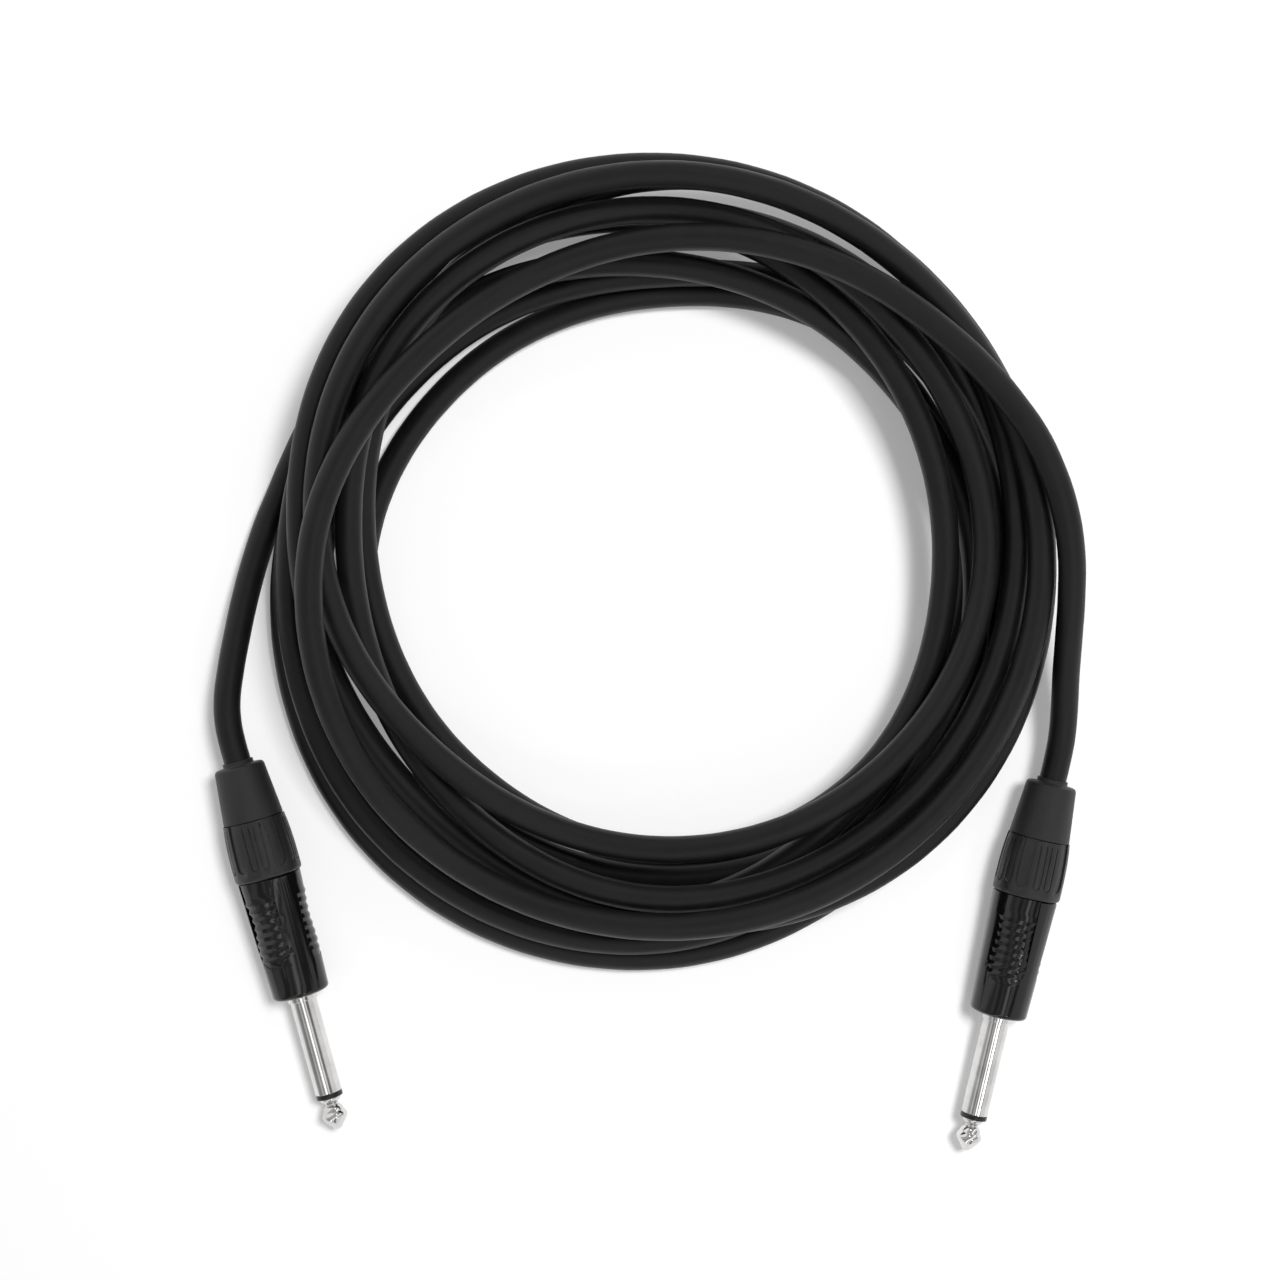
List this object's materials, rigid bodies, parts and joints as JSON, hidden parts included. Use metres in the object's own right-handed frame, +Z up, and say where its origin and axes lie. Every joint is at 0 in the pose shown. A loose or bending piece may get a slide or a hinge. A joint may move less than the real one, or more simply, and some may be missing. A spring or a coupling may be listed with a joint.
{
  "type": "instrument cable",
  "caption": "Coiled screened audio cord with a straight 6.35 mm phone plug at each end, each plug with a ribbed shell, screw collar and strain-relief boot.",
  "frame": {"origin": "on the surface the cable lies on, at the middle of the two plugs' own box", "axes": "+Z up from the surface; the coil lies towards +Y and the plugs' tips point towards -Y; +X runs from the plug that leaves the coil at the bottom of the pile to the one that leaves it on top"},
  "size_m": [0.2045, 0.2338, 0.038],
  "materials": {
    "nickel": "bright nickel plate",
    "insulator_black": "moulded",
    "insulator_grey": "moulded",
    "tinned_brass": "stamped, tinned at the ends",
    "clamp_nylon": "moulded",
    "shell_black": "gloss black over a die casting",
    "collar_black": "moulded, fine matt",
    "boot_rubber": "moulded, matt",
    "cord_jacket": "extruded, satin",
    "core_insulation": "extruded",
    "copper": "bare stranded copper"
  },
  "bodies": {
    "cord": {"left_tip": "nickel", "left_tip_ring": "insulator_black", "left_insulating_tube": "insulator_grey", "left_sleeve": "nickel", "left_rear_washer": "insulator_grey", "left_tip_lug": "tinned_brass", "left_ground_lug": "tinned_brass", "left_clamp": "clamp_nylon", "left_jacket_end": "cord_jacket", "left_core": "core_insulation", "left_wire": "copper", "left_screen_tail": "copper", "left_lead": "cord_jacket", "right_tip": "nickel", "right_tip_ring": "insulator_black", "right_insulating_tube": "insulator_grey", "right_sleeve": "nickel", "right_rear_washer": "insulator_grey", "right_tip_lug": "tinned_brass", "right_ground_lug": "tinned_brass", "right_clamp": "clamp_nylon", "right_jacket_end": "cord_jacket", "right_core": "core_insulation", "right_wire": "copper", "right_screen_tail": "copper", "right_lead": "cord_jacket", "cord_coil": "cord_jacket"},
    "left_shell": {"left_shell": "shell_black"},
    "left_boot": {"left_boot": "boot_rubber"},
    "left_collar": {"left_collar": "collar_black"},
    "right_shell": {"right_shell": "shell_black"},
    "right_boot": {"right_boot": "boot_rubber"},
    "right_collar": {"right_collar": "collar_black"}
  },
  "joints": [
    {"name": "left_shell_off", "type": "slide", "parent": "cord", "child": "left_shell", "axis": [0.2586, -0.965, -0.0431], "range_m": [0, 0.012]},
    {"name": "left_collar_back", "type": "slide", "parent": "cord", "child": "left_boot", "axis": [-0.2586, 0.965, 0.0431], "range_m": [0, 0.00501]},
    {"name": "left_collar_turn", "type": "hinge", "parent": "left_boot", "child": "left_collar", "pos_m": [-0.09137, 0.02581, 0.00833], "axis": [-0.2586, 0.965, 0.0431], "range_deg": [0, 1805]},
    {"name": "right_shell_off", "type": "slide", "parent": "cord", "child": "right_shell", "axis": [-0.2213, -0.9742, -0.0431], "range_m": [0, 0.012]},
    {"name": "right_collar_back", "type": "slide", "parent": "cord", "child": "right_boot", "axis": [0.2213, 0.9742, 0.0431], "range_m": [0, 0.00501]},
    {"name": "right_collar_turn", "type": "hinge", "parent": "right_boot", "child": "right_collar", "pos_m": [0.09199, 0.02135, 0.00833], "axis": [0.2213, 0.9742, 0.0431], "range_deg": [0, 1805]}
  ],
  "couplings": [
    {"joint": "left_collar_turn", "follows": "left_collar_back", "rad_per_m": 6283.2},
    {"joint": "right_collar_turn", "follows": "right_collar_back", "rad_per_m": 6283.2}
  ]
}
